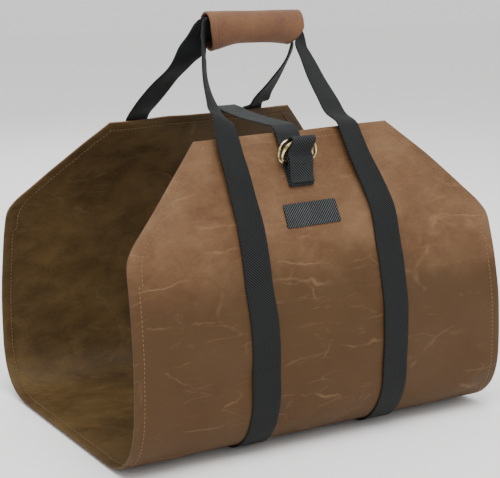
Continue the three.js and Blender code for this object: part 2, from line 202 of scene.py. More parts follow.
# Waxed cotton duck, woven, dipped in wax and rubbed by hand. The wax darkens the cloth, and where
# it is bent the wax breaks and shows pale lines, so the eye sees clouds of brown with pale creases.
canvasLook = {
    "outside": [(0.36, "#50341b"), (0.5, "#62462d"), (0.64, "#71563c")],
    "inside": [(0.38, "#372710"), (0.62, "#584425")],
    "cloudSize": 95, "patchSize": 26, "patchShare": 0.4, "grainSize": 5, "grainShare": 0.16,
    # painted shade of the lower body, which faces down: its colour, strength and cloudy border
    "bellyShade": "#3f2a0f", "bellyShadeShare": 0.8, "halfCloth": 488, "driftSize": 130, "driftReach": 160,
    "bellyShadeFrom": 0.62, "bellyShadeTo": 0.78,  # shares of the way up over which the painted shade of the down-facing belly fades out
    "crease": "#947556", "creaseShare": 0.34, "creaseShareInside": 0.15,
    "cracks": [  # size of a cell, width of its line, bend, stretch, then size and stops of the mask
        (70, 1.5, 0.4, (0.28, 1.5, 1), 60, [(0.5, 0.0), (0.66, 1.0)]),
        (34, 0.9, 0.5, (0.34, 1.3, 1), 38, [(0.52, 0.0), (0.7, 0.6)]),
    ],
    "streakSize": 17, "streakStretch": (0.3, 1.7, 1), "streaks": [(0.56, 0.0), (0.72, 0.55)],
    "streakMaskSize": 44, "streakMask": [(0.42, 0.0), (0.66, 1.0)],
    "threadPitch": 1.1,  # the real duck has about 0.6 mm; drawn coarser so that it shows
    "weaveRelief": (0.25, 0.2), "patchRelief": (0.5, 1.1), "creaseRelief": (0.6, 0.6),
    "rough": [(0.3, 0.56), (0.7, 0.74)], "finish": {"IOR": 1.46, "Specular IOR Level": 0.26},
}


def makeCanvas(name, inside):
    look = canvasLook
    material = newMaterial(name)
    place = addNode(material, "ShaderNodeUVMap", {"uv_map": "cloth"}).outputs["UV"]
    parts = addNode(material, "ShaderNodeSeparateXYZ", None, {"Vector": place})

    def cloudsOf(size, detail, roughness=0.55, distortion=0.0, stretch=(1, 1, 1)):
        stretched = addNode(material, "ShaderNodeMapping", None, {"Vector": place, "Scale": stretch})
        inputs = {"Vector": stretched.outputs["Vector"], "Scale": 1 / (size * millimetre),
                  "Detail": detail, "Roughness": roughness, "Distortion": distortion}
        return addNode(material, "ShaderNodeTexNoise", None, inputs)

    def linesOf(size, width, bend, stretch):  # thin curved lines where two cells of a warped net meet
        warp = cloudsOf(size * 0.8, 3, 0.6)
        moved = addNode(material, "ShaderNodeMix", {"data_type": "VECTOR"},
                        {0: bend * size * millimetre, 4: (0, 0, 0), 5: warp.outputs["Color"]})
        warped = addNode(material, "ShaderNodeVectorMath", {"operation": "ADD"},
                         {0: place, 1: moved.outputs[1]})
        stretched = addNode(material, "ShaderNodeMapping", None,
                            {"Vector": warped.outputs["Vector"], "Scale": stretch})
        net = addNode(material, "ShaderNodeTexVoronoi", {"feature": "DISTANCE_TO_EDGE"},
                      {"Vector": stretched.outputs["Vector"], "Scale": 1 / (size * millimetre)})
        return colourRamp(material, net.outputs["Distance"], [(0, 1.0), (width / size, 0.0)])

    blend = cloudsOf(look["cloudSize"], 5, 0.55, 0.3).outputs["Fac"]
    patches = cloudsOf(look["patchSize"], 6, 0.65, 0.4, (1, 1.5, 1)).outputs["Fac"]
    grain = cloudsOf(look["grainSize"], 3, 0.7, 0.0, (1, 1.6, 1)).outputs["Fac"]
    for share, pattern in ((look["patchShare"], patches), (look["grainShare"], grain)):
        mixed = addNode(material, "ShaderNodeMixRGB", None,
                        {"Fac": share, "Color1": blend, "Color2": pattern})
        blend = mixed.outputs["Color"]
    colour = colourRamp(material, blend, look["inside" if inside else "outside"])
    if not inside:  # painted shade: the belly, which faces down, is darkened below the upper part, with a cloudy border
        fromBase = addNode(material, "ShaderNodeMath", {"operation": "ABSOLUTE"}, {0: parts.outputs["Y"]})
        drift = cloudsOf(look["driftSize"], 4, 0.6).outputs["Fac"]
        reach = look["driftReach"] * millimetre
        drifted = addNode(material, "ShaderNodeMath", {"operation": "MULTIPLY_ADD"},
                          {0: drift, 1: reach, 2: fromBase.outputs[0]})
        low, high = [look[border] * look["halfCloth"] * millimetre + reach / 2
                     for border in ("bellyShadeFrom", "bellyShadeTo")]
        upper = addNode(material, "ShaderNodeMapRange", {"interpolation_type": "SMOOTHSTEP"},
                        {"Value": drifted.outputs[0], "From Min": low, "From Max": high,
                         "To Min": look["bellyShadeShare"], "To Max": 0.0})
        bellyShaded = addNode(material, "ShaderNodeMixRGB", None,
                           {"Fac": upper.outputs["Result"], "Color1": colour,
                            "Color2": linearColour(look["bellyShade"])})
        colour = bellyShaded.outputs["Color"]

    streaks = cloudsOf(look["streakSize"], 5, 0.72, 0.2, look["streakStretch"]).outputs["Fac"]
    streakMask = cloudsOf(look["streakMaskSize"], 2).outputs["Fac"]
    marks = [(colourRamp(material, streaks, look["streaks"]),
              colourRamp(material, streakMask, look["streakMask"]))]
    for size, width, bend, stretch, maskSize, maskStops in look["cracks"]:
        mask = colourRamp(material, cloudsOf(maskSize, 3).outputs["Fac"], maskStops)
        marks.append((linesOf(size, width, bend, stretch), mask))
    creases = 0.0
    for lines, mask in marks:
        shown = addNode(material, "ShaderNodeMath", {"operation": "MULTIPLY"}, {0: lines, 1: mask})
        joined = addNode(material, "ShaderNodeMath", {"operation": "MAXIMUM"},
                         {0: creases, 1: shown.outputs[0]})
        creases = joined.outputs[0]
    paleness = addNode(material, "ShaderNodeMath", {"operation": "MULTIPLY"},
                       {0: creases, 1: look["creaseShareInside" if inside else "creaseShare"]})
    creased = addNode(material, "ShaderNodeMixRGB", None,
                      {"Fac": paleness.outputs[0], "Color1": colour, "Color2": linearColour(look["crease"])})

    weave = 1.0
    for axis in ("X", "Y"):  # two sets of threads crossing
        angle = addNode(material, "ShaderNodeMath", {"operation": "MULTIPLY"},
                        {0: parts.outputs[axis], 1: 2 * math.pi / (look["threadPitch"] * millimetre)})
        wave = addNode(material, "ShaderNodeMath", {"operation": "SINE"}, {0: angle.outputs[0]})
        crossed = addNode(material, "ShaderNodeMath", {"operation": "MULTIPLY"},
                          {0: weave, 1: wave.outputs[0]})
        weave = crossed.outputs[0]
    layers = [(look["weaveRelief"], weave), (look["patchRelief"], patches), (look["creaseRelief"], creases)]
    relief = stackRelief(material, layers)
    rough = colourRamp(material, patches, look["rough"])
    return finishMaterial(material, creased.outputs["Color"], rough, relief, look["finish"])


# Polypropylene webbing in a black diagonal weave. Each rib catches the light on its back, so the
# eye sees fine grey lines running across a black band.
webbingLook = {
    # valley to glint: painted shade in the valleys up to a painted highlight on the rib tops; the strap and
    # the patch get lighter rib tops
    "valley": "#020202", "rib": "#090a0a", "glint": "#2f3233", "strapGlint": "#464a4c",
    "patchGlint": "#606466",
    "ribPitch": 3.0,  # real ribs are about 2 mm apart; drawn coarser so that they show
    "ribSlope": 1.0, "ribSwing": 0.5, "yarnPitch": 1.5, "yarnSwing": 0.15,
    "wornSize": 26.3, "wornShare": 0.6, "wornLeast": 0.7, "fuzzSize": 1.111,
    "fuzzRelief": (0.4, 0.2), "ribRelief": (0.9, 0.7),
    "rough": [(0.3, 0.62), (0.7, 0.78)], "finish": {"IOR": 1.49, "Specular IOR Level": 0.2},
}


def makeTwill(name, mirrored, glint):
    look = webbingLook
    material = newMaterial(name)
    place = addNode(material, "ShaderNodeUVMap", {"uv_map": "cloth"}).outputs["UV"]
    parts = addNode(material, "ShaderNodeSeparateXYZ", None, {"Vector": place})
    slanted = addNode(material, "ShaderNodeMath", {"operation": "MULTIPLY_ADD"},
                      {0: parts.outputs["Y"], 1: mirrored * look["ribSlope"], 2: parts.outputs["X"]})
    height = 1.0
    for across, pitch, swing in ((slanted.outputs[0], look["ribPitch"], look["ribSwing"]),
                                 (parts.outputs["Y"], look["yarnPitch"], look["yarnSwing"])):
        angle = addNode(material, "ShaderNodeMath", {"operation": "MULTIPLY"},
                        {0: across, 1: 2 * math.pi / (pitch * millimetre)})
        wave = addNode(material, "ShaderNodeMath", {"operation": "SINE"}, {0: angle.outputs[0]})
        ridge = addNode(material, "ShaderNodeMath", {"operation": "MULTIPLY_ADD"},
                        {0: wave.outputs[0], 1: swing, 2: 1 - swing})
        raised = addNode(material, "ShaderNodeMath", {"operation": "MULTIPLY"},
                         {0: height, 1: ridge.outputs[0]})
        height = raised.outputs[0]
    fuzz, worn = [addNode(material, "ShaderNodeTexNoise", None,
                          {"Vector": place, "Scale": 1 / (look[size] * millimetre), "Detail": detail,
                           "Roughness": 0.6}).outputs["Fac"]
                  for size, detail in (("fuzzSize", 3), ("wornSize", 4))]
    wornShare = addNode(material, "ShaderNodeMath", {"operation": "MULTIPLY_ADD"},
                        {0: worn, 1: look["wornShare"], 2: look["wornLeast"]})
    ribLightAndWear = addNode(material, "ShaderNodeMath", {"operation": "MULTIPLY"},
                         {0: height, 1: wornShare.outputs[0]})
    # painted shade in the valleys and painted highlight on the rib tops, varied by the worn noise
    stops = [(0.2, look["valley"]), (0.5, look["rib"]), (0.92, look[glint])]
    colour = colourRamp(material, ribLightAndWear.outputs[0], stops)
    layers = [(look["fuzzRelief"], fuzz), (look["ribRelief"], height)]
    rough = colourRamp(material, worn, look["rough"])
    return finishMaterial(material, colour, rough, stackRelief(material, layers), look["finish"])


# Oiled nubuck leather, tanned, sanded on its face and oiled. Its colour clouds from dark to light
# brown, and the nap leaves it matte with a soft edge light.
leatherLook = {
    "outside": [(0.36, "#563420"), (0.5, "#644228"), (0.64, "#704c2c")],
    "inside": [(0.35, "#2e170b"), (0.65, "#512812")],
    "cloudSize": 34, "napSize": 3.2, "napShare": 0.3, "poreSize": 1.4,
    "poreRelief": (0.15, 0.2), "napRelief": (0.5, 0.5), "rough": [(0.3, 0.62), (0.7, 0.8)],
    "finish": {"IOR": 1.45, "Specular IOR Level": 0.35, "Sheen Weight": 0.15, "Sheen Roughness": 0.5},
}


def makeLeather(name, inside):
    look = leatherLook
    material = newMaterial(name)
    place = addNode(material, "ShaderNodeUVMap", {"uv_map": "cloth"}).outputs["UV"]
    clouds = addNode(material, "ShaderNodeTexNoise", None,
                     {"Vector": place, "Scale": 1 / (look["cloudSize"] * millimetre), "Detail": 5,
                      "Roughness": 0.6, "Distortion": 0.4})
    nap = addNode(material, "ShaderNodeTexNoise", None,
                  {"Vector": place, "Scale": 1 / (look["napSize"] * millimetre), "Detail": 5,
                   "Roughness": 0.7})
    blend = addNode(material, "ShaderNodeMixRGB", None,
                    {"Fac": look["napShare"], "Color1": clouds.outputs["Fac"], "Color2": nap.outputs["Fac"]})
    colour = colourRamp(material, blend.outputs["Color"], look["inside" if inside else "outside"])
    pores = addNode(material, "ShaderNodeTexVoronoi", {"feature": "F1"},
                    {"Vector": place, "Scale": 1 / (look["poreSize"] * millimetre)})
    layers = [(look["poreRelief"], pores.outputs["Distance"]), (look["napRelief"], nap.outputs["Fac"])]
    rough = colourRamp(material, clouds.outputs["Fac"], look["rough"])
    return finishMaterial(material, colour, rough, stackRelief(material, layers), look["finish"])


# Die-cast zinc with an antique brass plating, tumbled and rubbed back. The eye sees pale gold with
# small brown spots where the plating is tarnished.
brassLook = {
    "stops": [(0.3, "#54442a"), (0.44, "#94814f"), (0.56, "#dccfa6")], "rough": [(0.35, 0.44), (0.6, 0.24)],
    "spotSize": 5.88, "dentSize": 2.38, "dentRelief": (0.2, 0.2), "finish": {"Metallic": 1.0},
}


def makeBrass(name):
    look = brassLook
    material = newMaterial(name)
    place = addNode(material, "ShaderNodeTexCoord").outputs["Object"]
    spots, dents = [addNode(material, "ShaderNodeTexNoise", None,
                            {"Vector": place, "Scale": 1 / (look[size] * millimetre), "Detail": detail,
                             "Roughness": roughness}).outputs["Fac"]
                    for size, detail, roughness in (("spotSize", 5, 0.65), ("dentSize", 3, 0.5))]
    colour = colourRamp(material, spots, look["stops"])
    rough = colourRamp(material, spots, look["rough"])
    relief = stackRelief(material, [(look["dentRelief"], dents)])
    return finishMaterial(material, colour, rough, relief, look["finish"])


# Bonded polyester sewing thread, twisted and waxed: each stitch is a small shiny grain.
threadLook = {
    "tan": "#82643f", "sand": "#8f6a44", "shade": 0.55, "twistSize": 0.4545, "twistRelief": (0.4, 0.2),
    "rough": [(0.3, 0.5), (0.7, 0.65)], "finish": {"IOR": 1.5},
}


def makeThread(name, colourName):
    look = threadLook
    material = newMaterial(name)
    place = addNode(material, "ShaderNodeTexCoord").outputs["Object"]
    twist = addNode(material, "ShaderNodeTexNoise", None,
                    {"Vector": place, "Scale": 1 / (look["twistSize"] * millimetre), "Detail": 2,
                     "Roughness": 0.5}).outputs["Fac"]
    bright = linearColour(look[colourName])
    shade = (*[channel * look["shade"] for channel in bright[:3]], 1)
    colour = addNode(material, "ShaderNodeMixRGB", None, {"Fac": twist, "Color1": shade, "Color2": bright})
    rough = colourRamp(material, twist, look["rough"])
    relief = stackRelief(material, [(look["twistRelief"], twist)])
    return finishMaterial(material, colour.outputs["Color"], rough, relief, look["finish"])


waxedCanvas = makeCanvas("waxedCottonDuckOutside", False)
waxedCanvasInside = makeCanvas("waxedCottonDuckInside", True)
blackTwill = makeTwill("wovenPolypropyleneTwill", 1, "glint")
strapTwill = makeTwill("wovenPolypropyleneStrapTwill", 1, "strapGlint")
patchTwill = makeTwill("wovenPolyesterPatchTwill", -1, "patchGlint")
nubuck = makeLeather("oiledNubuckLeather", False)
nubuckInside = makeLeather("oiledNubuckFleshSide", True)
antiqueBrass = makeBrass("platedAntiqueBrass")
tanThread = makeThread("bondedThreadTan", "tan")
sandThread = makeThread("bondedThreadSand", "sand")
print("materials made")


# canvas sheet

canvas = {
    "width": 460, "topEdge": 246, "depth": 345, "height": 326, "edgeRise": 6, "riseFrom": 0.7, "corner": 111,
    "shoulderRound": 16, "wall": 1.8, "hemWidth": 15, "hemFold": 1.2, "hemStep": 1.2, "foldFrom": 0.72,
    "swellHeight": 2.2, "swellLength": 250, "swellStart": (0.3, 0.5), "swellEnd": (0.78, 0.98),
    "swellTurn": 5, "floorGap": 2.5, "skew": 10, "columns": 104, "rowStep": 4.2,
    "edgeRoll": 0.55, "edgeWidth": 1.2, "sink": 0.35, "sinkWidth": 1.1,
    "buckleStart": (0.2, 0.36), "buckleReach": 40, "buckleAtEdge": 0.25,
    "stitchInset": 10.25, "stitchPitch": 4.6, "stitchLength": 3.1, "thread": 0.9, "threadLift": 0.2,
}
profileShares = [  # share of the half depth, share of the height, share of the skew
    (0, 0, 1), (0.35, 0, 1), (0.66, 0.002, 1), (0.82, 0.025, 1), (0.93, 0.078, 1), (0.985, 0.156, 0.95),
    (1, 0.268, 0.85), (0.997, 0.39, 0.75), (0.972, 0.505, 0.55), (0.935, 0.615, 0.3),
    (0.885, 0.712, 0), (0.797, 0.8, -0.1), (0.685, 0.897, -0.05), (0.562, 1, 0),
]
halfWidth = canvas["width"] / 2
halfDepth = canvas["depth"] / 2
cornerSlope = (halfWidth - canvas["topEdge"] / 2) / canvas["corner"]


def profileRows(side, rows):
    base = canvas["floorGap"]
    return [(skew, side * out * halfDepth, base + up * canvas["height"]) for out, up, skew in rows]


profile = smoothPath(profileRows(-1, profileShares[:0:-1]) + profileRows(1, profileShares), perSpan=60)
profileAt = lengthsAlong(profile)
profileTangent = unit(np.gradient(profile, profileAt, axis=0))
flatLength = profileAt[-1]
halfLength = flatLength / 2
shoulderArc = halfLength - canvas["corner"]


def sheetHalfWidth(arc):
    past = np.abs(arc) - shoulderArc
    roundness = canvas["shoulderRound"]
    blended = cornerSlope * (past + roundness) ** 2 / (4 * roundness)
    sloped = np.where(past > roundness, cornerSlope * past, blended)
    return halfWidth - np.where(past < -roundness, 0, sloped)


def sheetSwell(x, arc):
    reach = np.abs(arc) / halfLength
    window = smoothStep(*canvas["swellStart"], reach) * (1 - smoothStep(*canvas["swellEnd"], reach))
    turned = x * np.where(arc < 0, -1, 1)
    wave = np.sin(2 * np.pi * turned / canvas["swellLength"] + canvas["swellTurn"] * reach)
    return canvas["swellHeight"] * window * wave


def sheetPoint(x, arc, lift):  # a place over the outer face of the cloth
    x, arc, lift = np.broadcast_arrays(np.asarray(x, float), np.asarray(arc, float), np.asarray(lift, float))
    at = np.clip(arc + halfLength, 0, flatLength)
    skew, y, z = [np.interp(at, profileAt, profile[:, k]) for k in range(3)]
    acrossY, acrossZ = [np.interp(at, profileAt, profileTangent[:, k]) for k in (1, 2)]
    flat = np.hypot(acrossY, acrossZ)
    out = lift + sheetSwell(x, arc)
    reach = np.abs(arc) / halfLength
    rise = canvas["edgeRise"] * smoothStep(canvas["riseFrom"], 1, reach) * (0.5 + x / canvas["topEdge"])
    placeY = y + acrossZ / flat * out - skew * canvas["skew"] * x / halfWidth
    placeZ = np.maximum(z, canvas["floorGap"]) - acrossY / flat * out + rise
    return np.stack([x, placeY, placeZ], axis=-1)


def sheetNormal(x, arc):
    return unit(sheetPoint(x, arc, 1) - sheetPoint(x, arc, 0))


def sheetSideways(x, arc):
    return unit(sheetPoint(np.asarray(x) + 1, arc, 0) - sheetPoint(np.asarray(x) - 1, arc, 0))


buckles = [  # length along x, length along the arc, height, turn of phase
    (150, 90, 0.55, 0.4), (88, -140, 0.4, 1.9), (61, 74, 0.24, 3.1), (210, 47, 0.3, 0.8),
    (39, -52, 0.13, 5.2),
]


def clothBuckles(x, arc):  # the small unevenness of a stiff cloth, quiet near the hems and the floor
    reach = np.abs(arc) / halfLength
    total = np.zeros(np.broadcast(x, arc).shape)
    for lengthX, lengthArc, height, turn in buckles:
        total = total + height * np.sin(2 * np.pi * (x / lengthX + arc / lengthArc) + turn)
    quiet = smoothStep(*canvas["buckleStart"], reach)
    edge = smoothStep(0, canvas["buckleReach"], sheetHalfWidth(arc) - np.abs(x))
    return total * quiet * (canvas["buckleAtEdge"] + (1 - canvas["buckleAtEdge"]) * edge)


def hemDepth(x, arc):  # distance from the nearest cut edge, on the flat cloth
    side = halfWidth - np.abs(x)
    top = halfLength - np.abs(arc)
    slant = (sheetHalfWidth(arc) - np.abs(x)) / math.hypot(1, cornerSlope)
    return np.minimum(np.minimum(side, top), np.where(np.abs(arc) > shoulderArc, slant, side))


def makeCanvasBody():
    hem = canvas["hemWidth"]
    hemPlaces = np.array([0, 0.35, 1.2, 4, 8, 12, hem - 0.7, hem])  # close together where the edge is round

    def spread(half, count):  # places from edge to edge, with the hem's own places at both
        middle = np.linspace(hem - half, half - hem, count)[1:-1]
        return np.concatenate([hemPlaces - half, middle, (half - hemPlaces)[::-1]])

    arcs = spread(halfLength, int(2 * (halfLength - hem) / canvas["rowStep"]))
    x = np.array([spread(float(sheetHalfWidth(arc)), canvas["columns"]) for arc in arcs])
    arc = np.broadcast_to(arcs[:, None], x.shape)
    inside = hemDepth(x, arc)
    rolled = canvas["edgeRoll"] * (1 - smoothStep(0, canvas["edgeWidth"], inside))  # the folded edge is round
    pull = canvas["sink"] * np.exp(-((inside - canvas["stitchInset"]) / canvas["sinkWidth"]) ** 2)
    relief = clothBuckles(x, arc)
    foldEnd = hem * canvas["foldFrom"]
    folded = 1 - smoothStep(foldEnd, foldEnd + canvas["hemStep"], inside)
    wall = canvas["wall"] + canvas["hemFold"] * folded
    outer = sheetPoint(x, arc, relief - rolled - pull)
    inner = sheetPoint(x, arc, relief - wall + rolled + pull)
    rows, columns = x.shape
    points = np.concatenate([outer.reshape(-1, 3), inner.reshape(-1, 3)])
    uv = np.stack([x, arc], axis=-1).reshape(-1, 2)
    index = np.arange(rows * columns).reshape(rows, columns)
    a, b, c, d = index[:-1, :-1], index[:-1, 1:], index[1:, 1:], index[1:, :-1]
    outerFaces = np.stack([a, b, c, d], axis=-1).reshape(-1, 4)
    innerFaces = outerFaces[:, ::-1] + rows * columns
    rim = np.concatenate([index[0, :-1], index[:-1, -1], index[-1, :0:-1], index[:0:-1, 0]])
    follow = np.roll(rim, -1)
    rimFaces = np.stack([follow, rim, rim + rows * columns, follow + rows * columns], axis=-1)
    faces = np.concatenate([outerFaces, innerFaces, rimFaces])
    slots = [0] * len(outerFaces) + [1] * len(innerFaces) + [0] * len(rimFaces)
    piece = buildMesh("canvasBody", points, faces.tolist(), [waxedCanvas, waxedCanvasInside], slots,
                      np.concatenate([uv, uv]))
    return placePiece(piece, "canvas", "canvas_body")


canvasBody = makeCanvasBody()
print("canvas sheet made", round(flatLength, 1))


# sewing thread: one joined mesh of short grains, each along its row and a little proud of the cloth

stitch = {  # the ends are thinner and dive into the cloth, and the middle stands proud of it
    "around": 6, "lengths": (-0.5, -0.36, 0, 0.36, 0.5), "radii": (0.35, 0.85, 1, 0.85, 0.35),
    "proud": 0.35, "dive": 0.65,
}


def makeStitches(name, rows, sizes, material, slotName):
    points = []
    faces = []
    around = stitch["around"]
    thick = sizes["thread"]
    for row, normals in rows:
        at = lengthsAlong(row)
        count = int(at[-1] / sizes["stitchPitch"])
        for middle in (np.arange(count) + 0.5) * at[-1] / max(count, 1):
            centre = along(row, at, middle)
            ahead = unit(along(row, at, middle + 0.5) - along(row, at, middle - 0.5))
            normal = unit(along(normals, at, middle))
            side = unit(np.cross(normal, ahead))
            faces += tubeFaces(len(points), len(stitch["lengths"]), around)
            for share, radius in zip(stitch["lengths"], stitch["radii"]):
                lift = thick * (stitch["proud"] - stitch["dive"] * (2 * share) ** 2)
                ringCentre = centre + ahead * share * sizes["stitchLength"] + normal * lift
                for k in range(around):
                    angle = 2 * math.pi * k / around
                    offset = side * math.cos(angle) + normal * math.sin(angle)
                    points.append(ringCentre + offset * radius * thick / 2)
    piece = buildMesh(name, np.array(points), faces, [material])
    return placePiece(piece, slotName)


def hemLine(inset, lift):  # one closed line at an inset from the cut edge, with its normals
    sideCount = 420
    topCount = 80
    slant = inset * math.hypot(1, cornerSlope)
    top = halfLength - inset
    arcs = np.linspace(-top, top, sideCount)
    straight = halfWidth - inset
    rightX = np.minimum(straight, sheetHalfWidth(arcs) - slant)
    rightX = np.where(np.abs(arcs) < shoulderArc - 2 * canvas["hemWidth"], straight, rightX)
    edgeX = float(sheetHalfWidth(top)) - slant + inset * 0.4  # a little out, as the rows cross at the corner
    topX = np.linspace(edgeX, -edgeX, topCount)
    x = np.concatenate([rightX, topX, -rightX[::-1], -topX])
    arc = np.concatenate([arcs, np.full(topCount, top), arcs[::-1], np.full(topCount, -top)])
    return sheetPoint(x, arc, clothBuckles(x, arc) + lift), sheetNormal(x, arc)


insideLift = canvas["threadLift"] - canvas["wall"] - canvas["hemFold"]
for pieceName, lift, facing in (("hemStitchesOutside", -canvas["threadLift"], 1),
                                ("hemStitchesInside", insideLift, -1)):
    hemPath, hemNormals = hemLine(canvas["stitchInset"], lift)
    makeStitches(pieceName, [(hemPath, facing * hemNormals)], canvas, tanThread, "canvas")
print("hem sewn")


# bands of webbing

def makeBand(name, node, stations, thick, material, step):
    # stations: place, direction across and width; the band is a flat oval in section
    rows = evenly(stations, step)
    centre = rows[:, :3]
    ahead = unit(np.gradient(centre, axis=0))
    side = rows[:, 3:6]
    side = unit(side - ahead * np.sum(ahead * side, axis=1, keepdims=True))
    normal = np.cross(side, ahead)
    width = rows[:, 6]
    across = 12  # places across each face, between its rounded edges
    shares = np.concatenate([[-0.5, -0.492], np.linspace(-0.47, 0.47, across), [0.492, 0.5]])
    bulge = np.array([0.0, 0.62] + [1.0] * across + [0.62, 0.0])
    selvedge = 1 + 0.1 * np.exp(-((np.abs(shares) - 0.45) / 0.03) ** 2)  # woven edges are a bit fuller
    crown = bulge * selvedge
    sectionAcross = np.concatenate([shares, shares[-2:0:-1]])
    sectionUp = np.concatenate([crown, -crown[-2:0:-1]]) * thick / 2
    at = lengthsAlong(centre)
    loops = (centre[:, None, :] + side[:, None, :] * (sectionAcross[None, :, None] * width[:, None, None])
             + normal[:, None, :] * sectionUp[None, :, None])
    size = len(sectionAcross)
    count = len(centre)
    index = np.arange(count * size).reshape(count, size)
    nextIndex = np.roll(index, -1, axis=1)
    faces = np.stack([index[:-1], index[1:], nextIndex[1:], nextIndex[:-1]], axis=-1).reshape(-1, 4)
    if np.dot(np.cross(loops[1, 4] - loops[0, 4], loops[0, 5] - loops[0, 4]), normal[0]) > 0:
        faces = faces[:, ::-1]
    faces = faces.tolist()
    caps = [index[0].tolist(), index[-1].tolist()[::-1]]
    uv = np.stack([np.broadcast_to(at[:, None], (count, size)),
                   np.broadcast_to(sectionAcross[None, :], (count, size)) * width[:, None]], axis=-1)
    piece = buildMesh(name, loops.reshape(-1, 3), faces + caps, [material], None, uv.reshape(-1, 2))
    fixNormals(piece)
    return placePiece(piece, "webbing", node)


webbing = {
    "width": 33, "thick": 2, "grippedWidth": 27, "layerGap": 0.5, "seamGap": 0.4, "edgeTurn": 0.24,
    "turnStart": 0.74, "step": 3, "easeRounds": 60, "easeBelowEdge": 30, "easeBelowGrip": (45, 25),
}
grip = {
    "length": 123, "centreX": 9.5, "centreZ": 435, "depth": 27, "height": 39, "wall": 2.4, "arch": 3.5,
    "drop": 0.5, "lean": 0.14, "splay": 1.3, "cutLeft": 6, "cutRight": 14, "cutPower": 1.3, "sag": 4.5,
    "sagEnd": 0.35, "stations": 13, "hidden": 2, "seamAt": 0.445, "seamWidth": 0.008, "seamSink": 0.25,
    "dent": 0.21, "stitchPitch": 3.6, "stitchLength": 2.5, "thread": 0.7, "threadSink": 0.1,
}
sewnLines = {  # share of the way up the panel, share of the half width
    "frontLeft": [(0, -0.36), (0.5, -0.35), (0.8, -0.385), (1, -0.38)],
    "frontRight": [(0, 0.35), (0.5, 0.352), (0.8, 0.342), (1, 0.285)],
    "backLeft": [(0, -0.365), (0.45, -0.375), (0.8, -0.38), (1, -0.37)],
    "backRight": [(0, 0.35), (0.45, 0.35), (0.8, 0.34), (1, 0.33)],
}
freeLegs = {  # shares of half width, half depth and grip height, the direction across, the width share
    "frontLeft": [
        (-0.363, -0.52, 0.798, 0.92, 0.22, -0.3, 1), (-0.353, -0.42, 0.814, 0.79, 0.32, -0.52, 1),
        (-0.345, -0.33, 0.844, 0.69, 0.41, -0.6, 1), (-0.329, -0.245, 0.876, 0.54, 0.49, -0.68, 1),
        (-0.3, -0.155, 0.914, 0.45, 0.57, -0.69, 1), (-0.276, -0.1, 0.942, 0.42, 0.5, -0.76, 1),
        (-0.262, -0.06, 0.965, 0.3, 0.3, -0.9, 1),
    ],
    "frontRight": [
        (0.297, -0.45, 0.793, 0.98, 0.1, -0.13, 1), (0.302, -0.36, 0.824, 0.98, 0.12, -0.14, 1),
        (0.304, -0.22, 0.875, 0.95, 0.21, -0.22, 1), (0.305, -0.13, 0.917, 0.9, 0.37, -0.24, 1),
        (0.3, -0.058, 0.951, 0.88, 0.42, -0.1, 0.76), (0.311, -0.032, 0.969, 0.75, 0.45, 0.45, 0.4),
        (0.3, -0.018, 0.985, 0.4, 0.25, 0.88, 0.42),
    ],
    "backLeft": [
        (-0.36, 0.5, 0.795, 1, 0.05, 0.05, 1), (-0.34, 0.42, 0.825, 1, 0.05, 0.05, 1),
        (-0.315, 0.31, 0.865, 1, 0.1, 0.1, 1), (-0.292, 0.155, 0.91, 0.8, 0.4, 0, 1),
        (-0.272, 0.042, 0.958, 0.15, 0.24, -0.94, 0.78),
    ],
    "backRight": [
        (0.297, 0.46, 0.788, 0.97, 0.15, 0.17, 1), (0.291, 0.4, 0.81, 0.96, 0.22, 0.18, 0.95),
        (0.302, 0.32, 0.838, 0.9, 0.36, 0.25, 1), (0.308, 0.21, 0.882, 0.81, 0.42, 0.41, 1),
        (0.306, 0.1, 0.924, 0.72, 0.41, 0.55, 0.85), (0.29, 0.04, 0.952, 0.57, 0.45, 0.68, 0.5),
        (0.291, 0.026, 0.968, 0.5, 0.35, 0.8, 0.42), (0.283, 0.018, 0.985, 0.25, 0.15, 0.95, 0.48),
    ],
}


def linePlace(line, share):
    for (startShare, startX), (endShare, endX) in zip(line[:-1], line[1:]):
        if share <= endShare:
            part = float(smoothStep(startShare, endShare, share))
            return (startX + (endX - startX) * part) * halfWidth
    return line[-1][1] * halfWidth


def sewnRows(line, facing):  # from the middle of the base up to the upper edge
    rows = []
    for share in np.linspace(0, 1, 60):
        x = linePlace(line, share)
        arc = facing * max(share * halfLength, webbing["seamGap"] / 2)
        turn = webbing["edgeTurn"] * float(smoothStep(webbing["turnStart"], 1, share))
        lift = webbing["layerGap"] + webbing["thick"] / 2 + webbing["width"] / 2 * math.sin(turn)
        side = sheetSideways(x, arc) * math.cos(turn) + sheetNormal(x, arc) * facing * math.sin(turn)
        rows.append([*sheetPoint(x, arc, lift + float(clothBuckles(x, arc))), *side, webbing["width"]])
    return np.array(rows)


def legRows(name, sign):
    rows = []
    for x, y, z, across, back, rise, wide in freeLegs[name]:
        side = unit(np.array([across, back, rise]) * sign)
        rows.append([x * halfWidth, y * halfDepth, z * grip["centreZ"], *side, wide * webbing["width"]])
    return np.array(rows)


def grippedRows(facing):
    rows = []
    for share in np.linspace(0, 1, grip["stations"]):
        lean = grip["lean"] * (1 - 2 * share)
        side = np.array([0, -facing * math.sin(lean), facing * math.cos(lean)])
        normal = np.cross(side, [1, 0, 0])
        rise = grip["arch"] / 2 * (1 - (2 * share - 1) ** 2)
        rise = rise - grip["drop"] * math.cos(math.pi * share) ** 2
        centre = np.array([grip["centreX"] + grip["length"] * (share - 0.5), 0, grip["centreZ"] + rise])
        centre = centre + normal * (webbing["thick"] + webbing["layerGap"]) / 2
        centre[1] += facing * grip["splay"] * (2 * share - 1) ** 4
        rows.append([*centre, *side, webbing["grippedWidth"]])
    return np.array(rows)


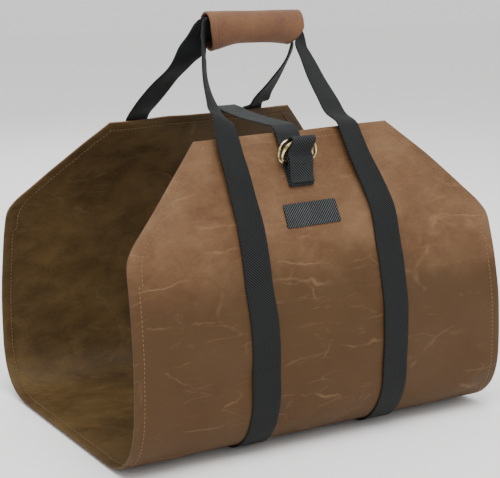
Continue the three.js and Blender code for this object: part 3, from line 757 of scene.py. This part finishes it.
def easedRows(rows):  # sideways place, direction and width change slowly where a leg leaves its panel
    height = rows[:, 2]
    top = canvas["height"]
    first, last = [grip["centreZ"] - below for below in webbing["easeBelowGrip"]]
    free = smoothStep(top - webbing["easeBelowEdge"], top, height) * (1 - smoothStep(first, last, height))
    eased = rows.copy()
    for _ in range(webbing["easeRounds"]):
        mean = (eased[:-2] + eased[2:]) / 2
        for column in (0, 3, 4, 5, 6):
            eased[1:-1, column] += 0.5 * free[1:-1] * (mean[:, column] - eased[1:-1, column])
    return eased


def handleRows(leftName, rightName, facing):
    turned = np.array([1, 1, 1, -1, -1, -1, 1])
    plain = np.ones(7)
    left = sewnRows(sewnLines[leftName], facing) * (plain if facing < 0 else turned)
    right = sewnRows(sewnLines[rightName], facing)[::-1] * (turned if facing < 0 else plain)
    inside = grippedRows(facing)[:-grip["hidden"]]  # on the right the bands turn down early
    rows = [left, legRows(leftName, -facing), inside, legRows(rightName, facing)[::-1], right]
    joined = np.concatenate(rows)
    places = smoothPath(joined[:, :3], perSpan=8)
    knots = np.linspace(0, len(joined) - 1, len(places))
    others = [np.interp(knots, np.arange(len(joined)), joined[:, k]) for k in range(3, 7)]
    rows = evenly(np.column_stack([places, *others]), webbing["step"])
    return easedRows(rows)


for pieceName, node, leftName, rightName, facing in (
    ("webbingFront", "webbing_front", "frontLeft", "frontRight", -1),
    ("webbingBack", "webbing_back", "backLeft", "backRight", 1),
):
    stations = handleRows(leftName, rightName, facing)
    makeBand(pieceName, node, stations, webbing["thick"], blackTwill, webbing["step"])
print("handles made")


# leather grip: an open roll with rounded ends

def gripOutline(angle, share):  # how far the ends are cut back and how far the underside is lifted
    low = np.maximum(0, -np.sin(angle))
    bow = grip["arch"] * (1 - (2 * share) ** 2)
    sag = grip["sag"] * (1 - smoothStep(0, grip["sagEnd"], share + 0.5))
    cut = 2 * np.where(share < 0, grip["cutLeft"], grip["cutRight"]) * low ** grip["cutPower"]
    return grip["centreX"] + share * (grip["length"] - cut), low * (bow - sag)


def makeGrip():
    rim = grip["wall"] / 2
    columns = 60
    rimSteps = 5
    inner = np.linspace(-grip["length"] / 2 + rim, grip["length"] / 2 - rim, columns)
    around = 96
    angles = np.linspace(0, 2 * np.pi, around, endpoint=False)
    rimAngles = np.linspace(-np.pi / 2, np.pi / 2, rimSteps + 2)[1:-1]
    rimWall = rim - rim * np.sin(rimAngles)
    profileX = np.concatenate([inner, inner[-1] + rim * np.cos(rimAngles), inner[::-1],
                               inner[0] - rim * np.cos(rimAngles)])
    profileWall = np.concatenate([np.zeros(columns), rimWall[::-1], np.full(columns, 2 * rim), rimWall])
    share = profileX[None, :] / grip["length"]
    angle = angles[:, None]
    x, lift = gripOutline(angle, share)
    nearSeam = (np.abs(share) - grip["seamAt"]) / grip["seamWidth"]
    seam = grip["seamSink"] * np.exp(-nearSeam ** 2)  # the sewn rows pull the leather in
    dents = grip["dent"] * np.sin(angle * 3 + share * 9) * (1 - (2 * share) ** 2)
    wall = profileWall[None, :] + seam - dents
    y = np.cos(angle) * (grip["depth"] / 2 - wall)
    z = grip["centreZ"] + np.sin(angle) * (grip["height"] / 2 - wall) + lift
    size = x.shape[1]
    points = np.stack([x, y, z], axis=-1)
    girth = math.pi * (grip["depth"] + grip["height"]) / 2
    uv = np.stack([x, np.broadcast_to(angle / (2 * np.pi) * girth, x.shape)], axis=-1)
    places = np.arange(size)
    facesInside = (places >= columns + rimSteps // 2) & (places < 2 * columns + rimSteps)
    slots = np.broadcast_to(facesInside, (around, size)).astype(int).ravel().tolist()
    piece = buildMesh("gripWrap", points.reshape(-1, 3), closedGrid(around, size), [nubuck, nubuckInside],
                      slots, uv.reshape(-1, 2))
    fixNormals(piece)
    return placePiece(piece, "grip_leather", "grip_wrap")


def gripStitchRow(share):
    angle = np.linspace(-0.35 * np.pi, 1.35 * np.pi, 160)
    x, lift = gripOutline(angle, share)
    y = np.cos(angle) * (grip["depth"] / 2 - grip["threadSink"])
    z = grip["centreZ"] + np.sin(angle) * (grip["height"] / 2 - grip["threadSink"]) + lift
    normals = [np.zeros_like(angle), np.cos(angle) * grip["height"], np.sin(angle) * grip["depth"]]
    return np.stack([x, y, z], axis=-1), np.stack(normals, axis=-1)


makeGrip()
gripRows = [gripStitchRow(-grip["seamAt"]), gripStitchRow(grip["seamAt"])]
makeStitches("gripStitches", gripRows, grip, sandThread, "grip_leather")
print("grip made")


# closure: two rings, the tab that holds them and the strap

closure = {
    "x": -13, "ringWidth": 45, "ringHeight": 26, "wire": 3.2, "tabEnd": 62, "barDown": 36, "play": 0.8,
    "strapWidth": 30, "strapThick": 1.8, "innerLean": 0.39, "outerLean": 0.91, "strapBackX": 28,
    "strapSewn": 46, "bridgeRise": 7, "tailShort": 2, "wireStep": 1.2, "tabStep": 1.4, "strapStep": 1.6,
}
ringTall = closure["ringHeight"] - closure["wire"]
tabLift = webbing["layerGap"] + closure["strapThick"] / 2
innerBarLift = tabLift + closure["strapThick"] / 2 + closure["play"] + closure["wire"] / 2
outerBarLift = innerBarLift + closure["wire"] + webbing["layerGap"]
tabTopLift = outerBarLift + closure["wire"] / 2 + closure["play"] + closure["strapThick"] / 2


def closurePoint(down, lift, x=closure["x"]):
    return sheetPoint(x, down - halfLength, lift)


ringShares = [(0, 0), (0.55, 0), (0.9, 0.04), (1, 0.24), (0.93, 0.56), (0.7, 0.84), (0.36, 0.97)]


def makeRing(name, node, barLift, lean):
    barPoint = closurePoint(closure["barDown"], barLift)
    arcDown = closure["barDown"] - ringTall * math.cos(lean)
    up = unit(closurePoint(arcDown, barLift + ringTall * math.sin(lean)) - barPoint)
    sideways = np.array([1.0, 0, 0])
    forward = np.cross(sideways, up)
    halfRing = (closure["ringWidth"] - closure["wire"]) / 2
    shares = ringShares + [(0, 1)] + [(-a, b) for a, b in ringShares[:0:-1]]
    knots = [barPoint + sideways * a * halfRing + up * b * ringTall for a, b in shares]
    outline = np.concatenate([smoothPath(knots, closed=True), [knots[0]]])
    path = evenly(outline, closure["wireStep"])[:-1]
    ahead = unit(np.roll(path, -1, axis=0) - np.roll(path, 1, axis=0))
    outward = unit(np.cross(ahead, forward))
    around = 16
    angles = np.linspace(0, 2 * np.pi, around, endpoint=False)
    offsets = (outward[:, None, :] * np.cos(angles)[None, :, None]
               + forward[None, None, :] * np.sin(angles)[None, :, None])
    loops = path[:, None, :] + offsets * closure["wire"] / 2
    piece = buildMesh(name, loops.reshape(-1, 3), closedGrid(len(path), around), [antiqueBrass])
    fixNormals(piece)
    return placePiece(piece, "ring_metal", node)


makeRing("ringInner", "d_ring_inner", innerBarLift, closure["innerLean"])
makeRing("ringOuter", "d_ring_outer", outerBarLift, closure["outerLean"])


def flatRows(places, direction):
    path = smoothPath(places, perSpan=16)
    side = np.tile(np.array([direction, 0, 0], float), (len(path), 1))
    return np.column_stack([path, side, np.full(len(path), closure["strapWidth"])])


def tabPlaces():
    bar = closure["barDown"]
    turn = bar - closure["wire"] / 2 - closure["play"] - closure["strapThick"] / 2
    span = tabTopLift - tabLift
    reach = closure["tabEnd"] - bar
    under = (closure["strapThick"] + webbing["layerGap"]) / span
    rows = [
        (closure["tabEnd"], 0), (bar + 0.46 * reach, 0), (bar + 0.08 * reach, 0), (turn + 0.1 * span, 0.126),
        (turn, 0.5), (turn + 0.1 * span, 0.874), (bar + 0.04 * reach, 1), (bar + 0.19 * reach, 0.845),
        (bar + 0.38 * reach, 0.5), (bar + 0.6 * reach, under + 0.04), (closure["tabEnd"], under),
    ]
    return [closurePoint(down, tabLift + share * span) for down, share in rows]


makeBand("ringTab", "d_ring_tab", flatRows(tabPlaces(), 1), closure["strapThick"], strapTwill,
         closure["tabStep"])


bridgeShares = [  # share of the way over the mouth, share of the rise
    (0.02, 0.86), (0.08, 1), (0.3, 0.72), (0.6, 0.66), (0.9, 0.86), (0.985, 0.86),
]
closingShares = [  # share of the distance down to the bars, share of the height of the outer ring's arc
    (0.083, 0.19), (0.25, 0.17), (0.444, 0.174), (0.597, 0.242), (0.656, 0.398),
    (0.628, 0.587), (0.561, 0.777), (0.522, 0.962), (0.553, 1.098), (0.628, 1.133),
    (0.7, 1.068), (0.75, 0.909), (0.794, 0.72), (0.85, 0.602), (0.928, 0.568),
    (1.028, 0.576), (1.139, 0.523), (1.278, 0.398), (1.444, 0.28),
]


def strapPlaces():
    backX = closure["strapBackX"]
    sewn = [sheetPoint(backX, halfLength - share * closure["strapSewn"], tabLift)
            for share in (1, 0.65, 0.33, 0.07)]
    overBack = sheetPoint(backX, halfLength, 0)
    overFront = closurePoint(0, 0)
    bridge = []
    for share, rise in bridgeShares:
        lift = np.array([0, 0, rise * closure["bridgeRise"]])
        bridge.append(overBack + (overFront - overBack) * share + lift)
    arcLift = outerBarLift + ringTall * math.sin(closure["outerLean"])
    closing = [closurePoint(down * closure["barDown"], lift * arcLift)
               for down, lift in closingShares]
    tailLift = tabLift + 2 * (closure["strapThick"] + webbing["layerGap"])
    tail = closurePoint(closure["tabEnd"] - closure["tailShort"], tailLift)
    return sewn + bridge + closing + [tail]


makeBand("securityStrap", "security_strap", flatRows(strapPlaces(), -1), closure["strapThick"], strapTwill,
         closure["strapStep"])
print("closure made")


# woven patch, bare, with rounded corners and a folded edge

label = {
    "width": 67, "height": 25, "thick": 1, "x": -9, "down": 92, "round": 2.2, "step": 1.5,
    "edge": [(0, 0.35), (0.25, 0.75), (0.7, 1), (1.5, 1.02), (2.4, 0.88), (6, 0.88), (12, 0.88)],
}  # edge: inset from the outline and share of the thickness, folded and so fuller near the outline


def makePatch():
    corner = []
    for quarter, (signX, signY) in enumerate([(1, 1), (-1, 1), (-1, -1), (1, -1)]):
        for step in np.linspace(0, np.pi / 2, 7):
            angle = step + quarter * np.pi / 2
            corner.append((signX * (label["width"] / 2 - label["round"]) + label["round"] * math.cos(angle),
                           signY * (label["height"] / 2 - label["round"]) + label["round"] * math.sin(angle)))
    outline = evenly(np.array(corner + corner[:1]), label["step"], 2)[:-1]
    count = len(outline)
    loops = [np.column_stack([outline, np.zeros(count)])]
    for inset, lift in label["edge"]:
        scaled = outline * [(1 - 2 * inset / label["width"]), (1 - 2 * inset / label["height"])]
        loops.append(np.column_stack([scaled, np.full(count, lift * label["thick"])]))
    loops.append(np.column_stack([outline * [0.5, 0.001], loops[-1][:, 2]]))
    flat = np.concatenate(loops)
    x = label["x"] + flat[:, 0]
    down = label["down"] - flat[:, 1]
    lift = webbing["layerGap"] + flat[:, 2] + clothBuckles(x, down - halfLength)
    uv = flat[:, 1::-1]  # the patch is cut across, so its ribs lie along the other way
    piece = buildMesh("labelPatch", closurePoint(down, lift, x), tubeFaces(0, len(loops), count),
                      [patchTwill], None, uv)
    fixNormals(piece)
    return placePiece(piece, "patch", "label_patch")


makePatch()
print("patch made")


# floor, light and camera

studio = {
    "paper": ("#fbfaf9", "#fefdfc"), "grainScale": 30, "rough": 0.85, "floorSize": 8.0, "skyPower": 1.0,
    "aimHeight": 0.22,
    "lights": [  # name, place, power, breadth
        ("keyLight", (-0.35, -0.75, 2.1), 50, 1.5),
        ("fillLight", (1.7, -1.0, 1.1), 8, 1.6),
        ("backLight", (0.2, 1.8, 1.6), 16, 1.6),
    ],
}


def makeStudio():
    size = studio["floorSize"]
    corners = [(-size, -size, 0), (size, -size, 0), (size, size, 0), (-size, size, 0)]
    mesh = bpy.data.meshes.new("studioFloor")
    mesh.from_pydata(corners, [], [(0, 1, 2, 3)])
    floor = bpy.data.objects.new("studioFloor", mesh)
    bpy.context.scene.collection.objects.link(floor)
    paper = newMaterial("paleStudioPaper")
    grain = addNode(paper, "ShaderNodeTexNoise", None, {"Scale": studio["grainScale"], "Detail": 2})
    dull, bright = [linearColour(shade) for shade in studio["paper"]]
    tone = addNode(paper, "ShaderNodeMixRGB", None,
                   {"Fac": grain.outputs["Fac"], "Color1": dull, "Color2": bright})
    finishMaterial(paper, tone.outputs["Color"], studio["rough"], None, {})
    mesh.materials.append(paper)

    world = bpy.data.worlds.new("studioLight")
    bpy.context.scene.world = world
    world.use_nodes = True
    background = world.node_tree.nodes["Background"]
    background.inputs["Color"].default_value = (1, 1, 1, 1)
    background.inputs["Strength"].default_value = studio["skyPower"]

    for name, place, power, breadth in studio["lights"]:
        light = bpy.data.lights.new(name, "AREA")
        light.energy = power
        light.size = breadth
        lamp = bpy.data.objects.new(name, light)
        lamp.location = place
        aim = Vector((0, 0, studio["aimHeight"])) - Vector(place)
        lamp.rotation_euler = aim.to_track_quat("-Z", "Y").to_euler()
        bpy.context.scene.collection.objects.link(lamp)


def makeCamera():
    view = {"place": (-0.730, -1.159, 0.496), "heading": 32.42, "down": 12.39, "lens": 87.48}
    camera = bpy.data.cameras.new("photoCamera")
    camera.lens = view["lens"]
    camera.sensor_width = 36
    holder = bpy.data.objects.new("photoCamera", camera)
    holder.location = view["place"]
    holder.rotation_euler = (math.radians(90 - view["down"]), 0, -math.radians(view["heading"]))
    bpy.context.scene.collection.objects.link(holder)
    bpy.context.scene.camera = holder


makeStudio()
makeCamera()
print("studio made")
